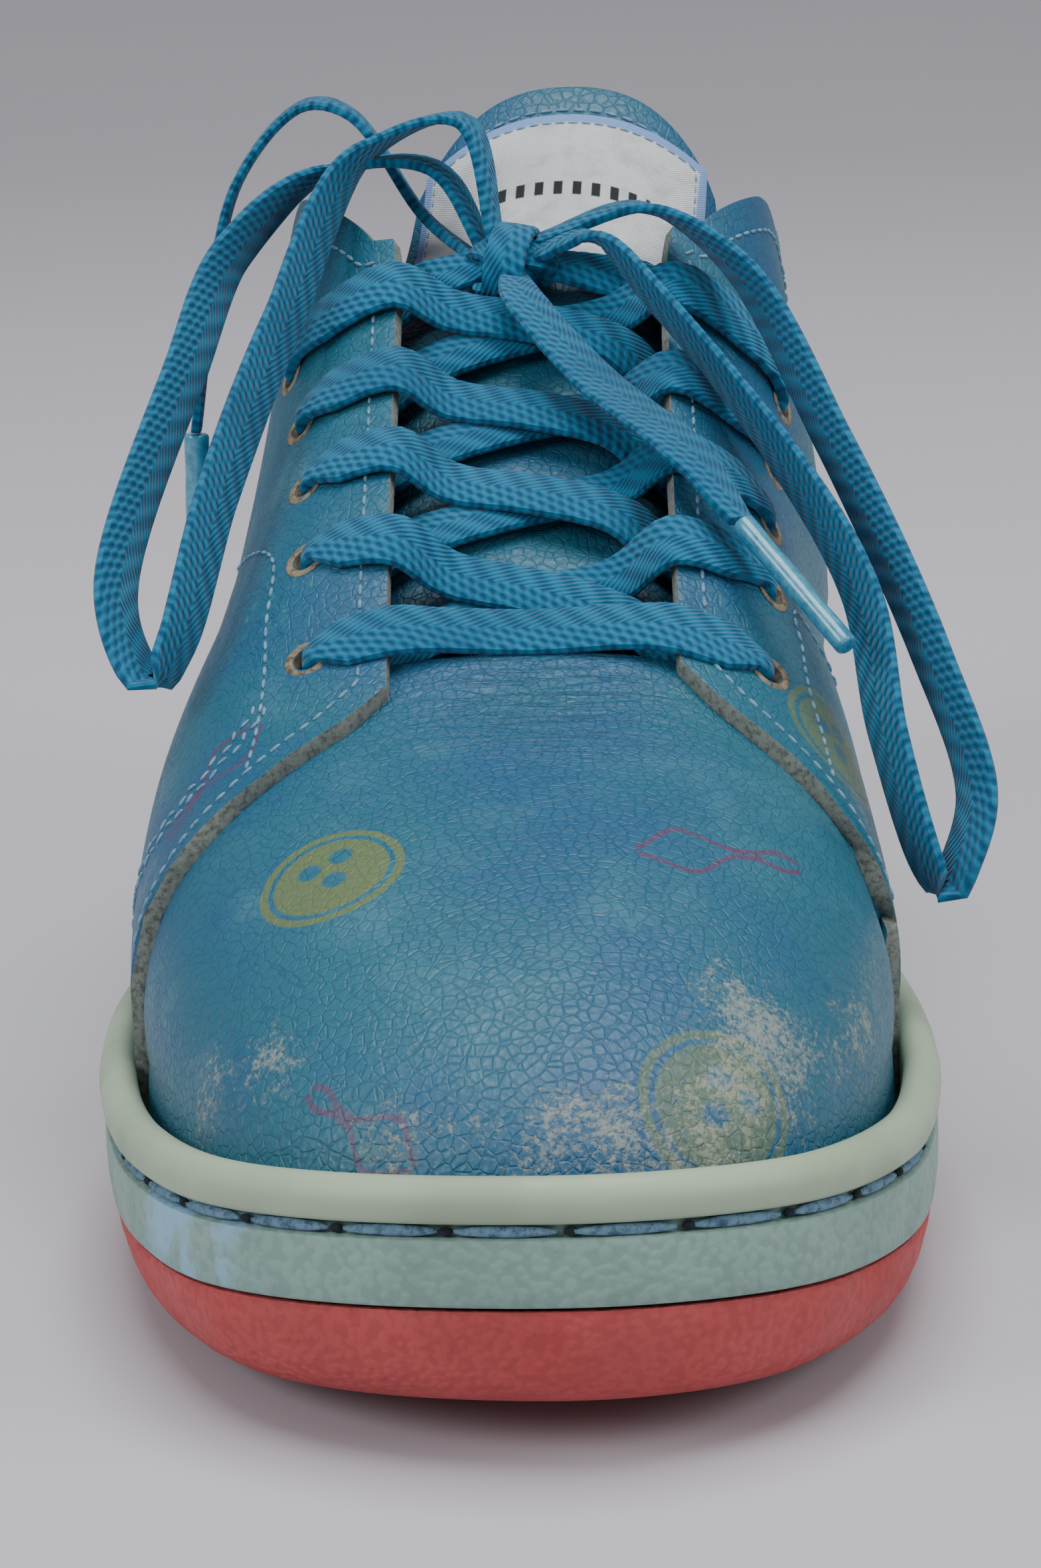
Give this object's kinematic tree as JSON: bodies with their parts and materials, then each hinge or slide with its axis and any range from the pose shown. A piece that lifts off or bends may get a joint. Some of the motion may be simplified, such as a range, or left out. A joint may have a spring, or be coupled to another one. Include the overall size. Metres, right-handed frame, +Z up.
{
  "type": "bowling shoe",
  "caption": "Low-cut right shoe with a stitched rubber cup sole, leather upper, padded tongue and a flat lace tied in a bow.",
  "frame": {"origin": "on the ground under the middle of the sole's outline", "axes": "+Z up, toe towards -Y and heel towards +Y, +X towards the big-toe (medial) side"},
  "size_m": [0.1185, 0.3004, 0.1395],
  "materials": {
    "coral_rubber": "pebbled, matt, scuffed",
    "mint_rubber": "pebbled low down, smooth at the lip",
    "blue_leather": "corrected grain, printed, scuffed at the toe",
    "coral_textile": "woven lining",
    "teal_lace": "flat braid",
    "white_label": "woven satin",
    "white_foam": "open-cell foam",
    "brown_board": "fibre board",
    "stiffener": "heat-formed sheet",
    "green_suede": "raw split with fuzzy cut edge",
    "grey_thread": "waxed thread",
    "clear_tip": "clear film over teal braid"
  },
  "bodies": {
    "shoe": {"outsole": "coral_rubber", "sidewall_cup": "mint_rubber", "sidewall_stitch": "grey_thread", "midsole_foam": "white_foam", "lasting_board": "brown_board", "footbed": "coral_textile", "vamp": "blue_leather", "vamp_lining": "coral_textile", "toe_puff": "stiffener", "quarter_medial": "blue_leather", "eyestay_backing_medial": "green_suede", "quarter_lining_medial": "coral_textile", "quarter_lateral": "blue_leather", "eyestay_backing_lateral": "green_suede", "quarter_lining_lateral": "coral_textile", "heel_counter": "stiffener", "collar_foam": "white_foam", "heel_overlay": "blue_leather", "heel_tab": "blue_leather", "lace_bar": "teal_lace", "lace_to_lateral_2": "teal_lace", "lace_to_medial_2": "teal_lace", "lace_to_lateral_3": "teal_lace", "lace_to_medial_3": "teal_lace", "lace_to_lateral_4": "teal_lace", "lace_to_medial_4": "teal_lace", "lace_to_lateral_5": "teal_lace", "lace_to_medial_5": "teal_lace", "lace_knot": "teal_lace", "lace_rise_medial": "teal_lace", "lace_rise_lateral": "teal_lace", "bow_loop_lateral": "teal_lace", "bow_loop_medial": "teal_lace", "lace_end_medial": "teal_lace", "lace_end_lateral": "teal_lace", "aglet_medial": "clear_tip", "aglet_lateral": "clear_tip"},
    "tongue": {"tongue_leather": "blue_leather", "tongue_foam": "white_foam", "tongue_lining": "coral_textile", "tongue_label": "white_label"}
  },
  "joints": [
    {"name": "tongue_hinge", "type": "hinge", "parent": "shoe", "child": "tongue", "pos_m": [0.0035, -0.057, 0.064], "axis": [-1, 0, 0], "range_deg": [0, 10], "stiffness_Nm_per_rad": 0.12, "springref_deg": -8.59}
  ]
}
